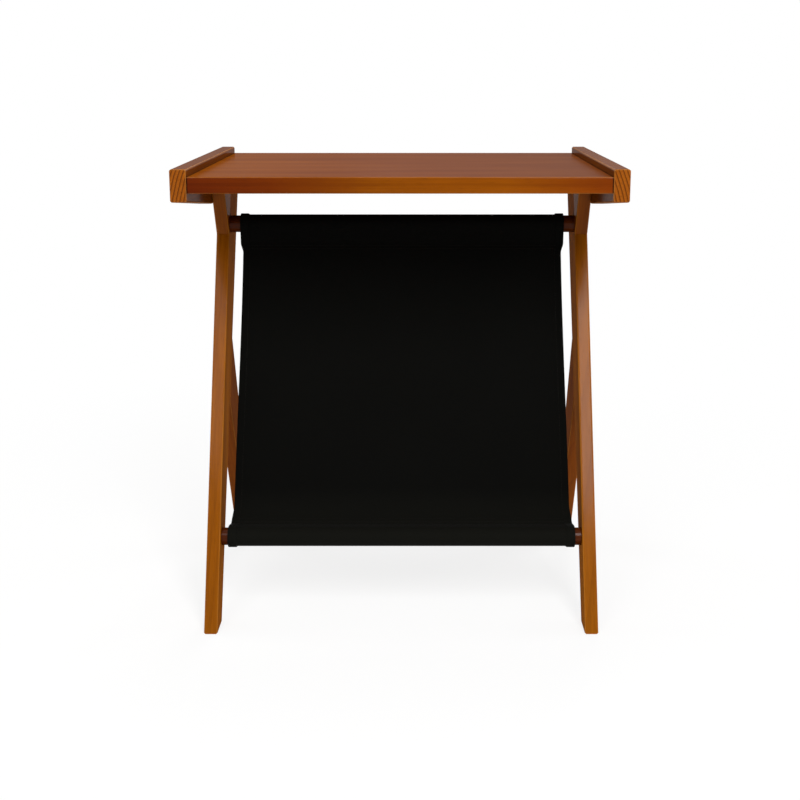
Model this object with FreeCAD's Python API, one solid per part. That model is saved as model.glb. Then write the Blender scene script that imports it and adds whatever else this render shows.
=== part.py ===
import FreeCAD, Part
import math
import os

os.makedirs("parts", exist_ok=True)

# Sizes are in millimetres. X runs across the table, Y from front to back and Z up.
# The origin is on the floor, under the middle of the table.

# Whole table
table_width = 500.0
table_depth = 400.0
table_height = 544.0

# Side rails: tall in the middle, lower at both ends
rail_thickness = 18.0
rail_end_height = 36.0
rail_middle_height = 58.0
rail_edge_radius = 2.5
rail_end_chamfer = 0.8
rail_belly_radius = 150.0

# Top panel, let in between the rails
panel_thickness = 18.0
panel_drop = 8.5
panel_front_setback = 2.0
panel_edge_radius = 1.5

# Legs and struts, cut from one board
leg_thickness = 16.0
leg_edge_radius = 2.0
foot_chamfer = 1.5

# Main leg: from the front foot up and back to the panel
main_leg_foot_setback = 9.0
main_leg_foot_length = 38.0
main_leg_top_setback = 241.0
main_leg_top_length = 74.0

# Rear leg: from the back edge of the main leg down to the rear foot
rear_leg_foot_setback = 40.0
rear_leg_foot_length = 44.0
rear_leg_joint_height = 244.0
rear_leg_joint_rise = 71.0

# Upper strut: from the front edge of the main leg up and forward to the panel
strut_joint_drop = 70.5
strut_top_setback = 169.5
strut_top_length = 56.0

# Rods that carry the sling, and their blind sockets in the legs
rod_diameter = 21.0
rod_edge_inset = 15.5
rod_socket_depth = 8.0
rod_fit = 0.1
lower_rod_height = 99.5
upper_rod_drop = 58.5

# Sling of cloth, sewn into a sleeve round each rod
cloth_thickness = 1.6
sleeve_clearance = 0.3
sling_top_gap = 14.0
sling_bottom_gap = 8.0
sling_seam_reach = 25.0
sling_seam_degrees = 15.0
sling_bend_radius = 16.0

# Wooden pins in blind holes
pin_diameter = 8.0
pin_length = 36.0
pin_fit = 0.05
panel_pin_length = 30.0
panel_pin_rail_depth = 10.0
panel_pin_shares = (0.15, 0.5, 0.85)
rear_leg_pin_shares = (0.33, 0.67)
strut_pin_shares = (0.7,)

# Countersunk wood screws
screw_diameter = 4.0
screw_head_diameter = 8.0
screw_head_height = 2.6
screw_fit = 0.05
rail_screw_length = 29.0
rail_screw_drop = 11.0
rod_screw_length = 40.0
main_leg_screw_shares = (0.5,)
strut_screw_shares = (0.5,)

# Overrun of every cut past the face that it starts from
cut_overrun = 5.0

# Two edges closer in direction than this count as parallel
parallel_degrees = 1.0

# Places that follow from the sizes above
front_y = -table_depth / 2
rear_y = table_depth / 2
rail_inner_x = table_width / 2 - rail_thickness
leg_inner_x = rail_inner_x - leg_thickness
panel_top_z = table_height - panel_drop
panel_under_z = panel_top_z - panel_thickness
rail_screw_z = panel_under_z - rail_screw_drop
strut_joint_z = panel_under_z - strut_joint_drop
upper_rod_z = panel_under_z - upper_rod_drop
rear_leg_joint_top = rear_leg_joint_height + rear_leg_joint_rise
rod_radius = rod_diameter / 2
pin_radius = pin_diameter / 2

SIDES = {"left": -1, "right": 1}
MIRROR_PLANE = FreeCAD.Vector(1, 0, 0)
ACROSS = FreeCAD.Vector(1, 0, 0)


def point(y, z, x=0.0):
    return FreeCAD.Vector(x, y, z)


class Edge:
    """A straight edge in the side view, from its foot to its head."""

    def __init__(self, foot, head):
        self.foot = foot
        self.head = head
        self.lean = (head.y - foot.y) / (head.z - foot.z)
        self.along = (head - foot).normalize()

    def at(self, z):
        return point(self.foot.y + self.lean * (z - self.foot.z), z)

    def inset(self, z, distance):
        """The point at height z that lies this far behind the edge, square to it."""
        return self.at(z) + point(distance * math.hypot(1, self.lean), 0)

    def crossing(self, other):
        rise = (other.at(0).y - self.at(0).y) / (self.lean - other.lean)
        return self.at(rise)


# Edges of the side frame, seen from the side
main_front = Edge(
    point(front_y + main_leg_foot_setback, 0),
    point(front_y + main_leg_top_setback, panel_under_z),
)
main_rear = Edge(
    point(main_front.foot.y + main_leg_foot_length, 0),
    point(main_front.head.y + main_leg_top_length, panel_under_z),
)
rear_back = Edge(
    point(rear_y - rear_leg_foot_setback, 0),
    main_rear.at(rear_leg_joint_top),
)
rear_front = Edge(
    point(rear_back.foot.y - rear_leg_foot_length, 0),
    main_rear.at(rear_leg_joint_height),
)
strut_front = Edge(
    main_front.at(strut_joint_z),
    point(front_y + strut_top_setback, panel_under_z),
)
strut_back_line = Edge(
    strut_front.foot + point(strut_top_length, 0),
    strut_front.head + point(strut_top_length, 0),
)
strut_back = Edge(strut_back_line.crossing(main_front), strut_back_line.head)
lower_rod_centre = main_front.inset(lower_rod_height, rod_edge_inset)
upper_rod_centre = strut_front.inset(upper_rod_z, rod_edge_inset)


# General shapes
def prism(corners, x_from, thickness):
    """A flat board with this side view."""
    moved = [FreeCAD.Vector(x_from, p.y, p.z) for p in corners]
    wire = Part.makePolygon(moved + moved[:1])
    return Part.Face(wire).extrude(ACROSS * thickness)


def eased(solid, radius, chosen):
    """The solid with the chosen edges rounded."""
    edges = [e for e in solid.Edges if chosen(e)]
    return solid.makeFillet(radius, edges)


def runs_across(edge):
    """Whether an edge runs along X."""
    box = edge.BoundBox
    return box.XLength > max(box.YLength, box.ZLength)


def runs_lengthways(edge):
    """Whether an edge runs from front to back."""
    box = edge.BoundBox
    return box.YLength > max(box.XLength, box.ZLength)


def on_floor(edge):
    """Whether an edge bounds a foot."""
    return edge.BoundBox.ZMax < foot_chamfer


def lies_on(edge, lines):
    """Whether a board's edge follows one of these lines of the side view."""
    if runs_across(edge):
        return False
    way = edge.Vertexes[1].Point - edge.Vertexes[0].Point
    way.x = 0
    way.normalize()
    least = math.cos(math.radians(parallel_degrees))
    return any(abs(way.dot(line.along)) > least for line in lines)


def pin_shape(start, direction, length, grow=0.0):
    """A round pin; grow makes the hole that it fills."""
    return Part.makeCylinder(pin_radius + grow, length, start, direction)


def screw_shape(head, direction, length, grow=0.0):
    """A countersunk screw. Its head lies flush at head; grow makes the hole that it fills."""
    head_radius = screw_head_diameter / 2 + grow
    shank_radius = screw_diameter / 2 + grow
    sunk = Part.makeCone(head_radius, shank_radius, screw_head_height, head, direction)
    shank = Part.makeCylinder(shank_radius, length + grow, head, direction)
    return sunk.fuse(shank).removeSplitter()


def mirrored(shape):
    return shape.mirror(FreeCAD.Vector(), MIRROR_PLANE)


# Side frame: modelled once on the right, then mirrored
def frame_board(front_edge, back_edge):
    """A board of the side frame between two edges, rounded along them."""
    corners = [front_edge.foot, back_edge.foot, back_edge.head, front_edge.head]
    board = prism(corners, leg_inner_x, leg_thickness)
    free = [front_edge, back_edge]
    return eased(board, leg_edge_radius, lambda e: lies_on(e, free))


def leg(front_edge, back_edge):
    """A board that stands on the floor, with a chamfer round its foot."""
    board = frame_board(front_edge, back_edge)
    return board.makeChamfer(foot_chamfer, [e for e in board.Edges if on_floor(e)])


def joint_pins(edge_from, edge_to, shares, outward):
    """Where the pins of a butt joint start and which way they point."""
    middle_x = leg_inner_x + leg_thickness / 2
    seam = edge_to - edge_from
    square = FreeCAD.Vector(0, outward * seam.z, -outward * seam.y).normalize()
    starts = [edge_from + seam * share - square * (pin_length / 2) for share in shares]
    return [(FreeCAD.Vector(middle_x, s.y, s.z), square) for s in starts]


def rail_screw_places():
    """Where the screws from the legs into the rail have their heads."""
    rows = [
        (main_front.at(rail_screw_z), main_rear.at(rail_screw_z), main_leg_screw_shares),
        (strut_front.at(rail_screw_z), strut_back.at(rail_screw_z), strut_screw_shares),
    ]
    places = []
    for start, end, shares in rows:
        for share in shares:
            spot = start + (end - start) * share
            places.append(FreeCAD.Vector(leg_inner_x, spot.y, spot.z))
    return places


def rod_screw_places():
    """Where the screws from the legs into the rods have their heads."""
    centres = (lower_rod_centre, upper_rod_centre)
    return [FreeCAD.Vector(rail_inner_x, c.y, c.z) for c in centres]


def rod_socket(centre):
    start = FreeCAD.Vector(leg_inner_x - cut_overrun, centre.y, centre.z)
    return Part.makeCylinder(rod_radius + rod_fit, rod_socket_depth + cut_overrun, start, ACROSS)


rear_pins = joint_pins(
    main_rear.at(rear_leg_joint_height), main_rear.at(rear_leg_joint_top), rear_leg_pin_shares, 1
)
strut_pins = joint_pins(
    strut_front.foot, strut_back.foot, strut_pin_shares, -1
)
rear_pin_holes = [pin_shape(start, way, pin_length, pin_fit) for start, way in rear_pins]
strut_pin_holes = [pin_shape(start, way, pin_length, pin_fit) for start, way in strut_pins]
rail_screw_holes = [
    screw_shape(p, ACROSS, rail_screw_length, screw_fit) for p in rail_screw_places()
]
rod_screw_holes = [
    screw_shape(p, -ACROSS, rod_screw_length, screw_fit) for p in rod_screw_places()
]
rod_sockets = [rod_socket(lower_rod_centre), rod_socket(upper_rod_centre)]
frame_cuts = Part.makeCompound(
    rear_pin_holes + strut_pin_holes + rail_screw_holes + rod_screw_holes + rod_sockets
)

frame_parts = {
    "main_leg": leg(main_front, main_rear).cut(frame_cuts),
    "rear_leg": leg(rear_front, rear_back).cut(frame_cuts),
    "upper_strut": frame_board(strut_front, strut_back).cut(frame_cuts),
    "rear_leg_pins": Part.makeCompound(
        [pin_shape(start, way, pin_length) for start, way in rear_pins]
    ),
    "strut_pin": Part.makeCompound(
        [pin_shape(start, way, pin_length) for start, way in strut_pins]
    ),
    "rail_screws": Part.makeCompound(
        [screw_shape(p, ACROSS, rail_screw_length) for p in rail_screw_places()]
    ),
    "rod_screws": Part.makeCompound(
        [screw_shape(p, -ACROSS, rod_screw_length) for p in rod_screw_places()]
    ),
}


# Rails and panel
def panel_pin_places():
    """Where the pins between panel and rail start, inside the panel."""
    start_x = rail_inner_x + panel_pin_rail_depth - panel_pin_length
    middle_z = panel_under_z + panel_thickness / 2
    return [
        FreeCAD.Vector(start_x, front_y + share * table_depth, middle_z)
        for share in panel_pin_shares
    ]


panel_pin_holes = [
    pin_shape(p, ACROSS, panel_pin_length, pin_fit) for p in panel_pin_places()
]
frame_parts["panel_pins"] = Part.makeCompound(
    [pin_shape(p, ACROSS, panel_pin_length) for p in panel_pin_places()]
)


def at_rail_end(edge):
    """Whether an edge lies in the front or the rear end face of a rail."""
    return abs(edge.CenterOfMass.y) > rear_y - rail_end_chamfer


def rail_blank():
    """A board whose lower edge falls from both ends to a rounded middle."""
    end_z = table_height - rail_end_height
    middle_z = table_height - rail_middle_height
    corners = [
        point(front_y, table_height),
        point(rear_y, table_height),
        point(rear_y, end_z),
        point(0, middle_z),
        point(front_y, end_z),
    ]
    board = prism(corners, rail_inner_x, rail_thickness)
    keel = min((e for e in board.Edges if runs_across(e)), key=lambda e: e.BoundBox.ZMin)
    board = board.makeFillet(rail_belly_radius, [keel])
    board = eased(board, rail_edge_radius, runs_lengthways)
    return board.makeChamfer(rail_end_chamfer, [e for e in board.Edges if at_rail_end(e)])


frame_parts["rail"] = rail_blank().cut(Part.makeCompound(panel_pin_holes + rail_screw_holes))

for name, shape in frame_parts.items():
    for side, sign in SIDES.items():
        placed = shape if sign > 0 else mirrored(shape)
        placed.exportStep(f"parts/{name}_{side}.step")


def top_panel():
    start = FreeCAD.Vector(-rail_inner_x, front_y + panel_front_setback, panel_under_z)
    board = Part.makeBox(
        2 * rail_inner_x, table_depth - panel_front_setback, panel_thickness, start
    )
    board = eased(board, panel_edge_radius, runs_across)
    holes = panel_pin_holes + [mirrored(hole) for hole in panel_pin_holes]
    return board.cut(Part.makeCompound(holes))


top_panel().exportStep("parts/top_panel.step")


# Rods
def rod(centre):
    half = leg_inner_x + rod_socket_depth
    start = FreeCAD.Vector(-half, centre.y, centre.z)
    body = Part.makeCylinder(rod_radius, 2 * half, start, ACROSS)
    holes = rod_screw_holes + [mirrored(hole) for hole in rod_screw_holes]
    return body.cut(Part.makeCompound(holes))


rod(lower_rod_centre).exportStep("parts/lower_rod.step")
rod(upper_rod_centre).exportStep("parts/upper_rod.step")


# Sling: it runs back from the lower rod to a seam, bends there and climbs to the upper rod
sleeve_inner = rod_radius + sleeve_clearance
sleeve_outer = sleeve_inner + cloth_thickness
sleeve_middle = sleeve_inner + cloth_thickness / 2
sling_top_half = leg_inner_x - sling_top_gap
sling_bottom_half = leg_inner_x - sling_bottom_gap
seam_angle = math.radians(sling_seam_degrees)
seam_way = point(math.cos(seam_angle), math.sin(seam_angle))
sling_corner = lower_rod_centre + seam_way * sling_seam_reach
climb_way = (upper_rod_centre - sling_corner).normalize()
sling_start = lower_rod_centre + seam_way * sleeve_middle
sling_end = upper_rod_centre - climb_way * sleeve_middle
bend_run = sling_bend_radius * math.tan(seam_way.getAngle(climb_way) / 2)
bend_start = sling_corner - seam_way * bend_run
bend_end = sling_corner + climb_way * bend_run


def upward(way):
    """The direction square to this one in the side view, on the sling's upper side."""
    return point(-way.z, way.y)


bend_centre = bend_start + upward(seam_way) * sling_bend_radius


def sling_face(offset):
    """One face of the sling's side view, this far above the cloth's middle."""
    run_offset = upward(seam_way) * offset
    climb_offset = upward(climb_way) * offset
    bend_way = (sling_corner - bend_centre).normalize()
    bend_middle = bend_centre + bend_way * (sling_bend_radius - offset)
    return [
        Part.makeLine(sling_start + run_offset, bend_start + run_offset),
        Part.Arc(bend_start + run_offset, bend_middle, bend_end + climb_offset).toShape(),
        Part.makeLine(bend_end + climb_offset, sling_end + climb_offset),
    ]


def sleeve(centre):
    start = centre - ACROSS * sling_bottom_half
    tube = Part.makeCylinder(sleeve_outer, 2 * sling_bottom_half, start, ACROSS)
    return tube, Part.makeCylinder(sleeve_inner, 2 * sling_bottom_half, start, ACROSS)


def sling():
    half = cloth_thickness / 2
    above = sling_face(half)
    below = sling_face(-half)
    ends = [
        Part.makeLine(above[0].firstVertex().Point, below[0].firstVertex().Point),
        Part.makeLine(above[-1].lastVertex().Point, below[-1].lastVertex().Point),
    ]
    outline = Part.Wire(Part.__sortEdges__(above + ends + below))
    sheet = Part.Face(outline).extrude(ACROSS * (2 * sling_bottom_half))
    sheet.translate(-ACROSS * sling_bottom_half)
    tubes, bores = zip(*[sleeve(c) for c in (lower_rod_centre, upper_rod_centre)])
    body = sheet.fuse(list(tubes)).cut(Part.makeCompound(bores)).removeSplitter()
    return body.cut(sling_trim(1)).cut(sling_trim(-1))


def sling_trim(sign):
    """The wedge beside the sling that makes its upper end narrower."""
    lean = (sling_bottom_half - sling_top_half) / (upper_rod_centre.z - lower_rod_centre.z)
    bottom_z = lower_rod_centre.z
    top_z = upper_rod_centre.z + sleeve_outer + cut_overrun
    top_x = sling_bottom_half - lean * (top_z - bottom_z)
    far_x = sling_bottom_half + cut_overrun
    corners = [(sling_bottom_half, bottom_z), (far_x, bottom_z), (far_x, top_z), (top_x, top_z)]
    wedge = [FreeCAD.Vector(sign * x, front_y, z) for x, z in corners]
    face = Part.Face(Part.makePolygon(wedge + wedge[:1]))
    return face.extrude(FreeCAD.Vector(0, table_depth, 0))


sling().exportStep("parts/sling.step")
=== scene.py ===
import math
from collections import namedtuple

import bpy
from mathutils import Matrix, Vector


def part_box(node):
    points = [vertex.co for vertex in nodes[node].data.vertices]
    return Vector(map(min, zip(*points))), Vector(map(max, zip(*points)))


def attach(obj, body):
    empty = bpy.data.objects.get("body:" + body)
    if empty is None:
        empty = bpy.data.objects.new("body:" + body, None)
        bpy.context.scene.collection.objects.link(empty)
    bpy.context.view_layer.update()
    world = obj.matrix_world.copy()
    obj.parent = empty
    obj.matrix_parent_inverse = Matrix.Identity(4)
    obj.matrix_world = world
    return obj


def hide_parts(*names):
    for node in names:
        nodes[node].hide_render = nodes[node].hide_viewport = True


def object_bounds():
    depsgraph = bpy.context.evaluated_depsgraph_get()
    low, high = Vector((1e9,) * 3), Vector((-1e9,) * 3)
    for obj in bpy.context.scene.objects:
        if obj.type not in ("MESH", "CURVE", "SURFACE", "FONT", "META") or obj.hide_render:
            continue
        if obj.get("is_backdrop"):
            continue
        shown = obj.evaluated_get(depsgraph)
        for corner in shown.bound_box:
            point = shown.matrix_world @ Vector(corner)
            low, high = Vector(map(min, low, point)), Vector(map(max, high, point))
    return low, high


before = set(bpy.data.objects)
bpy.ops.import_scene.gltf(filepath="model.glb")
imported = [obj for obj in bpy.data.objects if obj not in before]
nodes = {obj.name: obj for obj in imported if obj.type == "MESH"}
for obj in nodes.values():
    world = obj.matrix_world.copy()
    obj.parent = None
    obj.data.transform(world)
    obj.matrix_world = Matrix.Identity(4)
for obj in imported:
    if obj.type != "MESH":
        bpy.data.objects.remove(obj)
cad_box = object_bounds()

ROOT = "root"
SIDES = {"left": -1, "right": 1}
ACROSS, DEPTH, FRONT = (1, 0, 0), (0, 1, 0), (0, -1, 0)
WHITE = (1.0, 1.0, 1.0, 1.0)


# Materials
def srgb(red, green, blue):
    """A colour as a screen shows it, 0 to 255, in Blender's linear numbers."""
    shares = [value / 255 for value in (red, green, blue)]
    linear = [share / 12.92 if share <= 0.04045 else ((share + 0.055) / 1.055) ** 2.4 for share in shares]
    return (*linear, 1.0)


class Shader:
    """A material and the nodes that it is made of."""

    def __init__(self, name):
        self.material = bpy.data.materials.new(name)
        self.material.use_nodes = True
        self.tree = self.material.node_tree
        self.surface = self.tree.nodes["Principled BSDF"]
        coordinates = self.add("ShaderNodeTexCoord").outputs
        self.place = coordinates["Object"]
        self.normal = coordinates["Normal"]
        self.cloth = coordinates["UV"]

    def fill(self, node, inputs):
        for key, value in inputs.items():
            socket = node.inputs[key]
            if isinstance(value, bpy.types.NodeSocket):
                self.tree.links.new(value, socket)
            else:
                socket.default_value = value

    def add(self, kind, inputs=None, **settings):
        node = self.tree.nodes.new(kind)
        for key, value in settings.items():
            setattr(node, key, value)
        self.fill(node, inputs or {})
        return node

    def math(self, operation, *values):
        inputs = dict(enumerate(values))
        return self.add("ShaderNodeMath", inputs, operation=operation).outputs[0]

    def vector_math(self, operation, *values):
        inputs = dict(enumerate(values))
        return self.add("ShaderNodeVectorMath", inputs, operation=operation).outputs

    def dot(self, vector, way):
        return self.vector_math("DOT_PRODUCT", vector, tuple(way))["Value"]

    def scaled(self, vector, scale):
        return self.vector_math("MULTIPLY", vector, scale)["Vector"]

    def vector(self, x, y, z):
        return self.add("ShaderNodeCombineXYZ", {"X": x, "Y": y, "Z": z}).outputs[0]

    def noise(self, vector, scale, detail):
        inputs = {"Vector": vector, "Scale": scale, "Detail": detail}
        return self.add("ShaderNodeTexNoise", inputs).outputs["Fac"]

    def between(self, value, low, high, to_low=0.0, to_high=1.0):
        """The value, with its range from low to high spread over another range."""
        inputs = {0: value, 1: low, 2: high, 3: to_low, 4: to_high}
        return self.add("ShaderNodeMapRange", inputs).outputs[0]

    def blend(self, share, first, second, mode="MIX"):
        inputs = {0: share, 6: first, 7: second}
        node = self.add("ShaderNodeMix", inputs, data_type="RGBA", blend_type=mode)
        return node.outputs[2]

    def tinted(self, colour, tint):
        return self.blend(1.0, colour, tint, "MULTIPLY")

    def ramp(self, value, stops):
        """Colours along a value: stops are (place from 0 to 1, colour)."""
        node = self.add("ShaderNodeValToRGB", {0: value})
        elements = node.color_ramp.elements
        while len(elements) < len(stops):
            elements.new(1.0)
        for element, (place, colour) in zip(elements, stops):
            element.position = place
            element.color = colour
        return node.outputs["Color"]

    def bump(self, height, strength, distance):
        inputs = {"Height": height, "Strength": strength, "Distance": distance}
        return self.add("ShaderNodeBump", inputs).outputs["Normal"]


# What a stain is multiplied by where it took less well, in late wood, and on the ends of a board
SHADED_TINT = (0.74, 0.66, 0.6, 1.0)
LATE_WOOD_TINT = (0.3, 0.22, 0.2, 1.0)
END_GRAIN_TINT = (1.8, 1.9, 1.6, 1.0)
# Paler colour on the rounded edges: worn stain, and also a painted highlight along the edges
WORN_WOOD_AND_HIGHLIGHT = srgb(196, 128, 52)

# A wave texture of scale 1 repeats after this length
WAVE_PERIOD = 0.314


def growth_rings(shader, fibre, spacing):
    """Uneven rings round the axis of the grain, with a sharp late edge."""
    inputs = {
        "Vector": shader.scaled(fibre, (0.05, 1.0, 1.0)),
        "Scale": WAVE_PERIOD / spacing,
        "Distortion": 3.2,
        "Detail": 2.0,
        "Detail Scale": 0.25,
    }
    settings = {"wave_type": "RINGS", "rings_direction": "X", "wave_profile": "SAW"}
    return shader.add("ShaderNodeTexWave", inputs, **settings).outputs["Fac"]


def wood(name, grain, stain, heart, spacing=0.0034, face_rings=0.18, lacquer=0.1, edge_wear_and_highlight=0.45):
    """Stained wood under a thin satin lacquer. stain and lacquer are constants, or are made from the shader.
    The growth rings go round an axis along the grain through the point heart, so they are lines on a face
    and arcs on an end. The rounded edges are paler: the stain is worn thin there, and the pale colour is
    also a painted highlight along them."""
    shader = Shader(name)
    grain = Vector(grain).normalized()
    side = Vector(DEPTH if grain.x else ACROSS)
    ways = (grain, side, grain.cross(side))
    from_heart = shader.vector_math("SUBTRACT", shader.place, heart)["Vector"]
    fibre = shader.vector(*[shader.dot(from_heart, way) for way in ways])

    def drawn_out(stretch, scale, detail):
        """Noise that is drawn out along the grain."""
        return shader.noise(shader.scaled(fibre, (stretch, 1.0, 1.0)), scale, detail)

    drift = drawn_out(0.16, scale=26.0, detail=3.0)
    streak = drawn_out(0.02, scale=420.0, detail=3.0)
    pores = shader.between(drawn_out(0.035, scale=1500.0, detail=1.0), 0.6, 0.72)
    late_wood = shader.between(growth_rings(shader, fibre, spacing), 0.52, 0.96)

    facing_end, facing_side, facing_third = [
        shader.math("ABSOLUTE", shader.dot(shader.normal, way)) for way in ways
    ]
    end = shader.between(facing_end, 0.75, 0.97)
    ring_share = shader.math("MULTIPLY", late_wood, shader.between(end, 0.0, 1.0, face_rings, 0.92))
    squarest = shader.math("MAXIMUM", shader.math("MAXIMUM", facing_side, facing_third), facing_end)
    # Paler rounded edges: worn stain, and also a painted highlight where an edge would catch the light
    worn = shader.between(squarest, 0.95, 0.8, 0.0, edge_wear_and_highlight)
    worn = shader.math("MULTIPLY", worn, shader.between(drift, 0.3, 0.6, 0.4, 1.0))

    colour = stain(shader) if callable(stain) else stain
    deep = shader.tinted(colour, LATE_WOOD_TINT)
    colour = shader.blend(shader.between(drift, 0.32, 0.68), shader.tinted(colour, SHADED_TINT), colour)
    colour = shader.blend(end, colour, shader.tinted(colour, END_GRAIN_TINT))
    colour = shader.blend(ring_share, colour, deep)
    colour = shader.blend(shader.between(streak, 0.3, 0.75, 0.0, 0.26), colour, deep)
    colour = shader.blend(shader.math("MULTIPLY", pores, 0.3), colour, deep)
    colour = shader.blend(worn, colour, WORN_WOOD_AND_HIGHLIGHT)

    height = shader.math("MULTIPLY", streak, 0.4)
    height = shader.math("SUBTRACT", height, shader.math("MULTIPLY", pores, 0.5))
    height = shader.math("SUBTRACT", height, shader.math("MULTIPLY", ring_share, 0.3))
    shader.fill(
        shader.surface,
        {
            "Base Color": colour,
            "Roughness": shader.between(streak, 0.2, 0.8, 0.42, 0.56),
            "Specular IOR Level": 0.0,
            "Coat Weight": lacquer(shader) if callable(lacquer) else lacquer,
            "Coat Roughness": 0.14,
            "Normal": shader.bump(height, strength=0.25, distance=0.0004),
        },
    )
    return shader.material


# A paler black, painted on near the lower seam as light falling on the cloth there
PAINTED_LIGHT_CLOTH = srgb(22, 22, 18)


def canvas(name, colour, thread=0.0008, on_cloth=True, painted_light_span=None):
    """Black woven cloth. Its weave follows the cloth's own width and length, which its UV map keeps in
    metres, or the object's, where the piece has no such map. Its last argument places a painted light:
    where along the length it starts to make the cloth paler, and where it is palest."""
    shader = Shader(name)
    place = shader.cloth if on_cloth else shader.place
    width, length, _ = shader.add("ShaderNodeSeparateXYZ", {0: place}).outputs
    rate = math.pi / thread
    warp = shader.math("SINE", shader.math("MULTIPLY", width, rate))
    weft = shader.math("SINE", shader.math("MULTIPLY", length, rate))
    weave = shader.between(shader.math("MULTIPLY", warp, weft), -1.0, 1.0)
    fuzz = shader.noise(place, scale=900.0, detail=3.0)
    worn = shader.noise(place, scale=9.0, detail=3.0)
    slub = shader.noise(shader.scaled(place, (1.0, 30.0, 1.0)), scale=24.0, detail=2.0)

    red, green, blue, _ = colour
    pale = (2.0 * red, 2.0 * green, 2.0 * blue, 1.0)
    pale_share = shader.math("MULTIPLY", weave, shader.between(fuzz, 0.3, 0.7, 0.5, 1.0))
    pale_share = shader.math("MULTIPLY", pale_share, shader.between(worn, 0.35, 0.7, 0.6, 1.0))
    cloth_colour = shader.blend(pale_share, colour, pale)
    # Painted light: paler towards the lower seam, and palest round the lower rod
    if painted_light_span:
        cloth_colour = shader.blend(shader.between(length, *painted_light_span, 0.0, 0.5), cloth_colour, PAINTED_LIGHT_CLOTH)
    height = shader.math("ADD", weave, shader.math("MULTIPLY", fuzz, 0.5))
    height = shader.math("ADD", height, shader.math("MULTIPLY", slub, 0.4))
    shader.fill(
        shader.surface,
        {
            "Base Color": cloth_colour,
            "Roughness": shader.between(fuzz, 0.3, 0.7, 0.72, 0.9),
            "Specular IOR Level": 0.03,
            "Sheen Weight": 0.006,
            "Sheen Roughness": 0.45,
            "Normal": shader.bump(height, strength=0.5, distance=0.0003),
        },
    )
    return shader.material


def steel(name):
    """Zinc-plated steel, a little cloudy."""
    shader = Shader(name)
    cloudy = shader.noise(shader.place, scale=400.0, detail=3.0)
    shader.fill(
        shader.surface,
        {
            "Base Color": shader.blend(cloudy, srgb(84, 82, 78), srgb(122, 120, 114)),
            "Metallic": 1.0,
            "Roughness": shader.between(cloudy, 0.3, 0.7, 0.28, 0.48),
            "Normal": shader.bump(cloudy, strength=0.1, distance=0.0002),
        },
    )
    return shader.material


# Wooden pieces: the CAD nodes, each with its own grain
PANEL_TOP = [
    (0.0, srgb(148, 78, 6)),
    (0.3, srgb(138, 70, 8)),
    (0.6, srgb(130, 65, 10)),
    (1.0, srgb(124, 64, 18)),
]
PANEL_FRONT = [
    (0.0, srgb(102, 36, 2)),
    (0.2, srgb(112, 46, 2)),
    (0.45, srgb(134, 70, 3)),
    (0.75, srgb(134, 69, 3)),
    (1.0, srgb(123, 52, 3)),
]
# Painted shade in the gap between the panel and each rail: its colour, and how far from the panel's end it
# starts and is darkest
PANEL_GAP_SHADE = srgb(38, 12, 2)
joint_shade_start = 0.0016
joint_shade_end = 0.0004
inner_lacquer = 0.02
outer_lacquer = 0.11


def panel_stain(shader):
    """The panel's top goes from orange brown to red brown, its front lipping from dark red to golden,
    and both have a painted shade in the joint beside the rails, for the gap there."""
    left, right = (corner.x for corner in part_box("top_panel"))
    across = shader.dot(shader.place, ACROSS)
    share = shader.between(across, left, right)
    front = shader.between(shader.dot(shader.normal, FRONT), 0.6, 0.85)
    colour = shader.blend(front, shader.ramp(share, PANEL_TOP), shader.ramp(share, PANEL_FRONT))
    # Painted shade along the gap beside each rail
    from_middle = shader.math("ABSOLUTE", across)
    joint = shader.between(from_middle, right - joint_shade_start, right - joint_shade_end)
    return shader.blend(joint, colour, PANEL_GAP_SHADE)


def outside_lacquer(shader):
    """Less lacquer on the legs' inner faces than on the others. An inner face is turned to the table's
    middle, so its normal and its place across the table have opposite signs."""
    across = shader.dot(shader.place, ACROSS)
    turned_in = shader.math("MULTIPLY", shader.dot(shader.normal, ACROSS), across)
    return shader.between(turned_in, -0.2, -0.12, inner_lacquer, outer_lacquer)


def wear(name, material):
    """Gives a CAD node this material, whatever its mesh came with."""
    for place in nodes[name].material_slots:
        place.link = "OBJECT"
        place.material = material


Board = namedtuple("Board", "grain heart stain spacing lacquer")
BOARDS = {
    "rail": Board(DEPTH, (-0.2, 0.3, -0.05), srgb(120, 62, 10), 0.004, 0.12),
    "main_leg": Board((0, 0.435, 0.9), (0.05, 0.1, 0.1), srgb(152, 86, 4), 0.0034, outside_lacquer),
    "rear_leg": Board((0, -0.47, 0.88), (0.06, 0.1, 0.3), srgb(136, 70, 6), 0.0034, outside_lacquer),
    "upper_strut": Board((0, -0.49, 0.87), (-0.05, 0.1, 0.1), srgb(126, 66, 8), 0.0034, 0.1),
}
PINS = ("rear_leg_pins", "strut_pin", "panel_pins")
PANEL_HEART = (0.3, 0.05, 0.33)
ROD_STAIN = srgb(78, 33, 6)
PIN_WOOD = srgb(190, 150, 100)
heart_shift = 0.2


def dress_panel_and_rods():
    panel_wood = wood(
        "panel_wood",
        ACROSS,
        panel_stain,
        PANEL_HEART,
        spacing=0.006,
        face_rings=0.2,
        lacquer=0.08,
        edge_wear_and_highlight=0.3,
    )
    wear("top_panel", panel_wood)
    for name in ("upper_rod", "lower_rod"):
        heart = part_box(name)[0]
        rod_wood = wood(f"{name}_wood", ACROSS, ROD_STAIN, heart, spacing=0.004, lacquer=0.13, edge_wear_and_highlight=0.0)
        wear(name, rod_wood)


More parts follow.
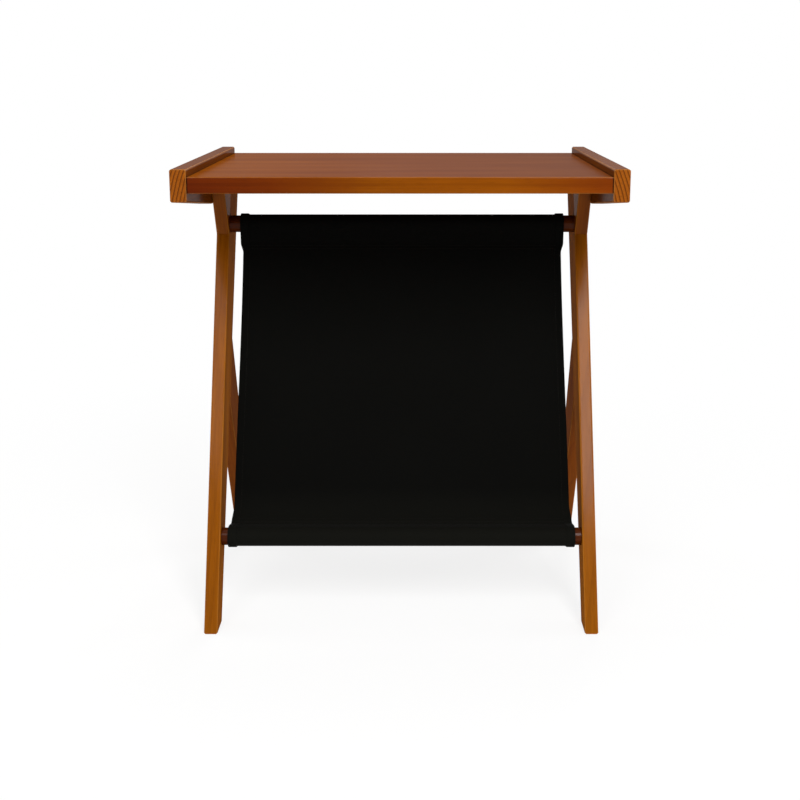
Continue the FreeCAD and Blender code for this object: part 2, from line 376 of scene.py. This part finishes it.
def dress_side(side, sign):
    """The boards and pins of one side. The hearts of a left and a right board are in different places,
    so that their grain differs."""
    for kind, board in BOARDS.items():
        name = f"{kind}_{side}"
        low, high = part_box(name)
        out, back, up = board.heart
        heart = (low + high) / 2 + Vector((sign * out, back + sign * heart_shift, up))
        looks = {"spacing": board.spacing, "lacquer": board.lacquer}
        wear(name, wood(f"{name}_wood", board.grain, board.stain, heart, **looks))
    for kind in PINS:
        name = f"{kind}_{side}"
        wear(name, wood(f"{name}_wood", ACROSS, PIN_WOOD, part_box(name)[0]))


dress_panel_and_rods()
for side, sign in SIDES.items():
    dress_side(side, sign)


# New pieces
def piece(name, points, faces, material, slot_name, uv=None, smooth_shading=True):
    """A mesh that rides on the table. uv gives each point its place on the flat cloth, in metres."""
    mesh = bpy.data.meshes.new(name)
    mesh.from_pydata(points, [], faces)
    mesh.validate()
    if uv:
        layer = mesh.uv_layers.new(name="cloth")
        for loop in mesh.loops:
            layer.data[loop.index].uv = uv[loop.vertex_index]
    for polygon in mesh.polygons:
        polygon.use_smooth = smooth_shading
    mesh.materials.append(material)
    thing = bpy.data.objects.new(name, mesh)
    bpy.context.scene.collection.objects.link(thing)
    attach(thing, ROOT)
    return thing


def joined(shapes):
    """Several shapes, each of points and faces, as one."""
    points, faces = [], []
    for more_points, more_faces in shapes:
        faces += [tuple(len(points) + corner for corner in face) for face in more_faces]
        points += more_points
    return points, faces


# Sling: one cloth, folded round both rods and sewn to itself behind its face.
# Its path in the side view is cut into steps, and a row of the cloth is counted in them.
cloth_thickness = 0.0011
layer_gap = 0.0002
sleeve_clearance = 0.0003
seam_reach = 0.025
seam_angle = math.radians(15)
lap_length = 0.009
step = 0.001
fold_steps = 3


def middle(name):
    low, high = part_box(name)
    return (low + high) / 2, (high.z - low.z) / 2


def turn(angle):
    return Vector((0, math.cos(angle), math.sin(angle)))


lower_centre, rod_radius = middle("lower_rod")
upper_centre, _ = middle("upper_rod")
loop_radius = rod_radius + sleeve_clearance + cloth_thickness / 2
lower_seam = lower_centre + turn(seam_angle) * seam_reach
climb = (upper_centre - lower_seam).normalized()
climb_angle = math.atan2(climb.z, climb.y)
upper_seam = upper_centre - climb * seam_reach
facing = Vector((0, -climb.z, climb.y))
behind = -facing * (cloth_thickness + layer_gap)
spread = math.acos(loop_radius / seam_reach)
lower_in, lower_out = seam_angle - spread, seam_angle + spread - math.tau
upper_in, upper_out = climb_angle + math.pi - spread, climb_angle - math.pi + spread


def straight(start, end):
    count = max(2, round((end - start).length / step))
    return [start.lerp(end, i / count) for i in range(count)]


def round_rod(centre, start, end):
    count = round(abs(end - start) * loop_radius / step)
    return [centre + turn(start + (end - start) * i / count) * loop_radius for i in range(count)]


def softened(points, reach):
    """The same path with its corners rounded, as a fold in cloth is."""
    last = len(points) - 1
    soft = []
    for i in range(len(points)):
        near = min(reach, i, last - i)
        group = points[i - near : i + near + 1]
        soft.append(sum(group, Vector()) / len(group))
    return soft


stretches = {
    "lower_lap": straight(lower_seam + climb * lap_length + behind, lower_seam + behind),
    "to_lower_rod": straight(lower_seam + behind, lower_centre + turn(lower_in) * loop_radius),
    "round_lower_rod": round_rod(lower_centre, lower_in, lower_out),
    "to_lower_seam": straight(lower_centre + turn(lower_out) * loop_radius, lower_seam),
    "climb": straight(lower_seam, upper_seam),
    "to_upper_rod": straight(upper_seam, upper_centre + turn(upper_in) * loop_radius),
    "round_upper_rod": round_rod(upper_centre, upper_in, upper_out),
    "to_upper_seam": straight(upper_centre + turn(upper_out) * loop_radius, upper_seam + behind),
    "upper_lap": straight(upper_seam + behind, upper_seam - climb * lap_length + behind),
}
first_rows, path = {}, []
for name, points in stretches.items():
    first_rows[name] = len(path)
    path += points
path = softened(path, fold_steps)
lower_lap_end = first_rows["to_lower_rod"]
climb_start, climb_end = first_rows["climb"], first_rows["to_upper_rod"]
upper_lap_start = first_rows["upper_lap"]


def path_normal(row):
    """The way out of the cloth's face: out of a sleeve, and to the front of the sling."""
    way = path[min(row + 1, len(path) - 1)] - path[max(row - 1, 0)]
    return Vector((0, -way.z, way.y)).normalized()


normals = [path_normal(row) for row in range(len(path))]

# Width of the cloth. Between the seams it is drawn in a little, over these shares of the climb.
top_narrowing = 0.006
half_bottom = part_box("sling")[1].x
half_top = half_bottom - top_narrowing
waist = 0.003
waist_start_shares = (0.0, 0.07)
waist_end_shares = (0.965, 1.0)

# Side hems: the cloth's edge is folded in behind the climb, and outward round the sleeves
hem_width = 0.0105
hem_extra = 0.0013
hem_slope = (hem_width - 0.0012, hem_width + 0.0006)
hem_start_shares = (-0.02, 0.03)
hem_end_shares = (0.97, 1.02)
edge_rounding = 0.0009
edge_share = 0.35

# Sag of the climb, puckers at the seams and ripples along the hems. Rates are in radians a metre.
sag_depth = 0.006
sag_edge_share = 0.2
sag_round = 1.5
pucker_height = 0.00022
pucker_rate = 690.0
pucker_wander = 1.7
pucker_wander_rate = 61.0
pucker_reach = 0.009
ripple_height = 0.0002
ripple_rate = 470.0
ripple_wander = 2.1
ripple_wander_rate = 50.0


def smooth(value, low, high):
    share = min(1.0, max(0.0, (value - low) / (high - low)))
    return share * share * (3 - 2 * share)


def window(value, rise, fall):
    """0 before the range rise, 1 between the two ranges and 0 after the range fall."""
    return smooth(value, *rise) * (1 - smooth(value, *fall))


def wandering_wave(place, rate, wander, wander_rate, phase=0.0):
    """A sine with waves of uneven length."""
    return math.sin(place * rate + wander * math.sin(place * wander_rate) + phase)


def on_lap(row):
    """Whether a row is on one of the two laps that lie behind the climb."""
    return row < lower_lap_end or row >= upper_lap_start


def climb_share(row):
    """How far up the climb a row is, from 0 to 1. A lap counts as the climb that it lies behind."""
    if row < lower_lap_end:
        row = climb_start + lower_lap_end - row
    elif row >= upper_lap_start:
        row = climb_end + upper_lap_start - row
    return (row - climb_start) / (climb_end - climb_start)


def forward(climbed, x, across, hem):
    """How far the climb stands in front of its straight path: its puckers, less its sag."""
    climb_length = (climb_end - climb_start) * step
    from_seams = (climbed * climb_length, (1 - climbed) * climb_length)
    near_seam = sum(math.exp(-((distance / pucker_reach) ** 2)) for distance in from_seams)
    pucker = pucker_height * wandering_wave(x, pucker_rate, pucker_wander, pucker_wander_rate)
    belly = 4 * climbed * (1 - climbed) if 0 < climbed < 1 else 0.0
    sag = sag_depth * belly * (1 - sag_edge_share + sag_edge_share * math.cos(across * sag_round))
    return pucker * near_seam * (1 - hem) - sag


def cloth_point(row, across, face):
    """A point of the cloth in a row, across from -1 to 1, on its face (1) or on its back (-1)."""
    point = path[row]
    climbed = climb_share(row)
    rise = smooth(point.z, lower_centre.z, upper_centre.z)
    drawn_in = waist * window(climbed, waist_start_shares, waist_end_shares)
    half = half_bottom + (half_top - half_bottom) * rise - drawn_in
    x = across * half
    from_edge = half - abs(x)
    hem = 1 - smooth(from_edge, *hem_slope)
    rounding = 1 - min(1.0, from_edge / edge_rounding)
    edge = edge_share + (1 - edge_share) * math.sqrt(1 - rounding**2)

    lift = forward(climbed, x, across, hem)
    if on_lap(row):
        lift = 2 * hem_extra * hem - lift
    else:
        on_climb = window(climbed, hem_start_shares, hem_end_shares)
        ripple = wandering_wave(row * step, ripple_rate, ripple_wander, ripple_wander_rate, across)
        lift += ripple_height * ripple * hem * on_climb + hem_extra * hem * (1 - on_climb)
    half_thickness = cloth_thickness / 2 if face > 0 else -cloth_thickness / 2 - hem_extra * hem
    return Vector((x, point.y, point.z)) + normals[row] * (lift + half_thickness * edge)


# Mesh of the sling: rows close on the sleeves and wider on the climb, columns close at the hems
close_rows = 2
wide_rows = 4
close_reach = 14
hem_columns = (0.0, 0.0003, 0.0009, 0.003, 0.006, 0.0085, 0.0095, 0.0102, 0.011, 0.0125)
inner_columns = 124


def sling_rows():
    last = len(path) - 1
    rows = []
    for row in range(len(path)):
        wide = climb_start + close_reach < row < climb_end - close_reach
        if row % (wide_rows if wide else close_rows) == 0 or row == last:
            rows.append(row)
    return rows


def sling_columns():
    left = [-1 + from_edge / half_bottom for from_edge in hem_columns]
    inner = [left[-1] - 2 * left[-1] * i / inner_columns for i in range(1, inner_columns)]
    return left + inner + [-across for across in reversed(left)]


def sling_mesh():
    rows, columns = sling_rows(), sling_columns()
    points, faces, uv = [], [], []
    for face in (1, -1):
        for row in rows:
            for across in columns:
                points.append(cloth_point(row, across, face))
                uv.append((across * half_bottom, row * step))
    width, length = len(columns), len(rows)
    back = width * length
    for r in range(length - 1):
        for c in range(width - 1):
            a, b = r * width + c, (r + 1) * width + c
            faces.append((a, a + 1, b + 1, b))
            faces.append((back + a, back + b, back + b + 1, back + a + 1))
    rim = list(range(width))
    rim += [r * width + width - 1 for r in range(1, length)]
    rim += [(length - 1) * width + c for c in range(width - 2, -1, -1)]
    rim += [r * width for r in range(length - 2, 0, -1)]
    for a, b in zip(rim, rim[1:] + rim[:1]):
        faces.append((b, a, back + a, back + b))
    return points, faces, uv


# Painted light on the sling: how far up the climb from the lower seam it reaches
painted_light_length = 0.045
painted_light_span = (climb_start * step + painted_light_length, climb_start * step)
black_canvas = canvas("canvas", srgb(6, 6, 5), painted_light_span=painted_light_span)
points, faces, uv = sling_mesh()
sling = piece("sling_cloth", points, faces, black_canvas, "canvas", uv)
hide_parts("sling")

# Screws: countersunk heads with a hexagon socket, in the places of the CAD's screws
head_radius = 0.0039
head_height = 0.0026
shank_radius = 0.0019
tip_radius = 0.0008
tip_length = 0.004
socket_radius = 0.0021
socket_depth = 0.0016
drilled_depth = 0.0026
drilled_radius = 0.0002
screw_corners = 24


def screw_rings(length):
    """The screw from its socket to its tip: depth under the head's face, radius, whether it is a hexagon."""
    return [
        (drilled_depth, drilled_radius, False),
        (socket_depth, socket_radius, True),
        (0.0, socket_radius, True),
        (0.0, head_radius, False),
        (head_height, shank_radius, False),
        (length - tip_length, shank_radius, False),
        (length, tip_radius, False),
    ]


def hexagon(angle):
    """How far a hexagon's edge is from its middle, with its corners at 1."""
    sixth = math.tau / 6
    return math.cos(sixth / 2) / math.cos(angle % sixth - sixth / 2)


def screw(place, way, length):
    """Points and faces of one screw, with its head's face at place."""
    side, up = Vector(DEPTH), way.cross(Vector(DEPTH))
    points, faces = [], []
    for depth, radius, six in screw_rings(length):
        for corner in range(screw_corners):
            angle = corner * math.tau / screw_corners
            size = radius * (hexagon(angle) if six else 1.0)
            points.append(place + way * depth + (side * math.cos(angle) + up * math.sin(angle)) * size)
    rings = len(points) // screw_corners
    for ring in range(rings - 1):
        for corner in range(screw_corners):
            a = ring * screw_corners + corner
            b = ring * screw_corners + (corner + 1) % screw_corners
            faces.append((a, b, b + screw_corners, a + screw_corners))
    faces.append(tuple(range(screw_corners - 1, -1, -1)))
    faces.append(tuple(range((rings - 1) * screw_corners, rings * screw_corners)))
    return points, faces


def screw_middles(name):
    """The middle of each screw in a CAD node of two, one behind the other or one over the other."""
    low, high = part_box(name)
    axis = max((1, 2), key=lambda k: high[k] - low[k])
    half = (low[axis] + high[axis]) / 2
    corners = [vertex.co for vertex in nodes[name].data.vertices]
    for chosen in ([c for c in corners if c[axis] < half], [c for c in corners if c[axis] > half]):
        yield [(min(c[k] for c in chosen) + max(c[k] for c in chosen)) / 2 for k in range(3)]


def fit_screws(kind, side, way, material):
    name = f"{kind}_{side}"
    low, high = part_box(name)
    head_x = low.x if way.x > 0 else high.x
    length = high.x - low.x
    shapes = [screw(Vector((head_x, y, z)), way, length) for _, y, z in screw_middles(name)]
    fastener = piece(f"{name}_hex", *joined(shapes), material, "screw_steel", smooth_shading=False)
    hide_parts(name)


zinc = steel("screw_steel")
for side, sign in SIDES.items():
    outward = Vector((sign, 0, 0))
    fit_screws("rail_screws", side, outward, zinc)
    fit_screws("rod_screws", side, -outward, zinc)

# Stitches: rows of short threads along the hems and the two seams.
# Rows beside a seam are counted in steps of the cloth's path.
stitch_pitch = 0.0034
stitch_length = 0.0025
thread_radius = 0.00028
hem_stitch_inset = 0.0088
hem_stitch_start = 4
hem_stitch_past_lap = 2
seam_stitch_rows = (3, 7)
seam_stitch_margin = 0.003

# Rings of a thread: share of its length, share of its radius, and height in radii
THREAD_RINGS = ((0, 0.3, -0.3), (0.25, 1, 0.35), (0.75, 1, 0.35), (1, 0.3, -0.3))


def stitch(start, end, out):
    """One thread from start to end, round and pointed at both ends."""
    way = (end - start).normalized()
    side = out.cross(way).normalized()
    points = []
    for share, size, height in THREAD_RINGS:
        ring_middle = start.lerp(end, share) + out * (height * thread_radius)
        for arm in (side, out, -side, -out):
            points.append(ring_middle + arm * (thread_radius * size))
    faces = [(3, 2, 1, 0), (12, 13, 14, 15)]
    for ring in range(3):
        for corner in range(4):
            a, b = ring * 4 + corner, ring * 4 + (corner + 1) % 4
            faces.append((a, b, b + 4, a + 4))
    return points, faces


def hem_stitches():
    """The stitches along both hems, on the face and on the back, where they start past the laps."""
    for face, start in ((1, hem_stitch_start), (-1, lower_lap_end + hem_stitch_past_lap)):
        first, last = climb_start + start, climb_end - start
        count = int((last - first) * step / stitch_pitch)
        for sign in SIDES.values():
            across = sign * (1 - hem_stitch_inset / half_bottom)
            for k in range(count):
                row = first + round(k * stitch_pitch / step)
                end_row = row + round(stitch_length / step)
                ends = [cloth_point(at, across, face) for at in (row, end_row)]
                yield stitch(*ends, normals[row] * face)


def seam_stitches():
    """The stitches along both seams, on the front and on the laps behind it."""
    reach = half_top - seam_stitch_margin
    count = int(2 * reach / stitch_pitch)
    for inside in seam_stitch_rows:
        on_front = (climb_start + inside, climb_end - inside)
        on_laps = (lower_lap_end - inside, upper_lap_start + inside)
        for row in on_front + on_laps:
            for k in range(count):
                x = k * stitch_pitch - reach
                ends = [cloth_point(row, at / half_bottom, 1) for at in (x, x + stitch_length)]
                yield stitch(*ends, normals[row])


thread = canvas("thread", srgb(24, 23, 21), thread=0.0003, on_cloth=False)
points, faces = joined([*hem_stitches(), *seam_stitches()])
stitches = piece("sling_stitches", points, faces, thread, "canvas")

# Floor, light and camera
floor_half = 8.0
floor_plain_start = 0.15
floor_plain_end = 1.2
floor_white_share = 0.78
world_light = 0.23
camera_sensor = 36.0
camera_lens = 59.6
camera_shift = (-0.0188, -0.06)
camera_place = (0.0163, -1.6408, 0.6564)
camera_pitch_degrees = 12.31
BACKGROUND_RAYS = ("Is Camera Ray", "Is Glossy Ray", "Is Transmission Ray")

Lamp = namedtuple("Lamp", "place target size watts")
LAMPS = {
    "key": Lamp((0.52, -1.8, 1.75), (0.1, 0, 0.3), (0.5, 1.2), 35),
    "fill": Lamp((-0.75, -1.7, 1.7), (-0.1, 0, 0.3), (0.7, 0.9), 12),
    "overhead": Lamp((-0.3, 0.3, 2.2), (0, 0, 0.4), (1.4, 1.4), 8),
    "side_left": Lamp((-2.1, 0.6, 1.1), (0, 0, 0.3), (1.0, 1.2), 10),
    "side_right": Lamp((2.1, 0.6, 1.1), (0, 0, 0.3), (1.0, 1.2), 10),
    "back": Lamp((0.4, 2.2, 1.5), (0, 0, 0.3), (1.2, 1.0), 20),
}


def shows_background(tree):
    """1 for the rays that see the plain background, and 0 for those that carry light to the object."""
    kinds = tree.nodes.new("ShaderNodeLightPath").outputs
    seen = kinds[BACKGROUND_RAYS[0]]
    for kind in BACKGROUND_RAYS[1:]:
        either = tree.nodes.new("ShaderNodeMath")
        either.operation = "MAXIMUM"
        tree.links.new(seen, either.inputs[0])
        tree.links.new(kinds[kind], either.inputs[1])
        seen = either.outputs[0]
    return seen


def pale_floor():
    """A pale floor that goes over to plain white away from the object, so that it has no horizon."""
    shader = Shader("floor_pale")
    speck = shader.noise(shader.place, scale=60.0, detail=3.0)
    colour = shader.blend(speck, srgb(248, 248, 247), srgb(251, 251, 250))
    shader.fill(shader.surface, {"Base Color": colour, "Roughness": 0.9, "Specular IOR Level": 0.0})
    reach = shader.vector_math("LENGTH", shader.scaled(shader.place, (1.0, 1.0, 0.0)))["Value"]
    plain = shader.between(reach, floor_plain_start, floor_plain_end, floor_white_share, 1.0)
    share = shader.math("MULTIPLY", shows_background(shader.tree), plain)
    white = shader.add("ShaderNodeEmission", {"Color": WHITE, "Strength": 1.0}).outputs[0]
    mixed = shader.add("ShaderNodeMixShader", {0: share, 1: shader.surface.outputs[0], 2: white}).outputs[0]
    shader.fill(shader.tree.nodes["Material Output"], {"Surface": mixed})
    return shader.material


def make_floor():
    mesh = bpy.data.meshes.new("floor")
    signs = ((-1, -1), (1, -1), (1, 1), (-1, 1))
    mesh.from_pydata([(x * floor_half, y * floor_half, 0) for x, y in signs], [], [(0, 1, 2, 3)])
    mesh.materials.append(pale_floor())
    floor = bpy.data.objects.new("floor", mesh)
    bpy.context.scene.collection.objects.link(floor)
    floor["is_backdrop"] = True


def make_world():
    """Even light from all round, in front of a white background."""
    world = bpy.data.worlds.new("studio")
    world.use_nodes = True
    tree = world.node_tree
    tree.nodes.clear()
    mix = tree.nodes.new("ShaderNodeMixShader")
    tree.links.new(shows_background(tree), mix.inputs[0])
    for number, strength in ((1, world_light), (2, 1.0)):
        background = tree.nodes.new("ShaderNodeBackground")
        background.inputs["Color"].default_value = WHITE
        background.inputs["Strength"].default_value = strength
        tree.links.new(background.outputs[0], mix.inputs[number])
    out = tree.nodes.new("ShaderNodeOutputWorld")
    tree.links.new(mix.outputs[0], out.inputs["Surface"])
    bpy.context.scene.world = world


def make_lamp(name, lamp):
    data = bpy.data.lights.new(name, "AREA")
    data.shape = "RECTANGLE"
    data.size, data.size_y = lamp.size
    data.energy = lamp.watts
    softbox = bpy.data.objects.new(name, data)
    softbox.location = lamp.place
    softbox.visible_camera = False
    softbox.rotation_euler = (Vector(lamp.target) - Vector(lamp.place)).to_track_quat("-Z", "Y").to_euler()
    bpy.context.scene.collection.objects.link(softbox)


def make_camera():
    data = bpy.data.cameras.new("camera")
    data.sensor_width = camera_sensor
    data.lens = camera_lens
    data.shift_x, data.shift_y = camera_shift
    camera = bpy.data.objects.new("camera", data)
    camera.location = camera_place
    camera.rotation_euler = (math.radians(90 - camera_pitch_degrees), 0, 0)
    bpy.context.scene.collection.objects.link(camera)
    bpy.context.scene.camera = camera


make_floor()
make_world()
for name, lamp in LAMPS.items():
    make_lamp(name, lamp)
make_camera()
bpy.context.scene.view_settings.view_transform = "Standard"

corners = {"cad": cad_box, "visual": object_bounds()}
{key: [list(corner) for corner in box] for key, box in corners.items()}
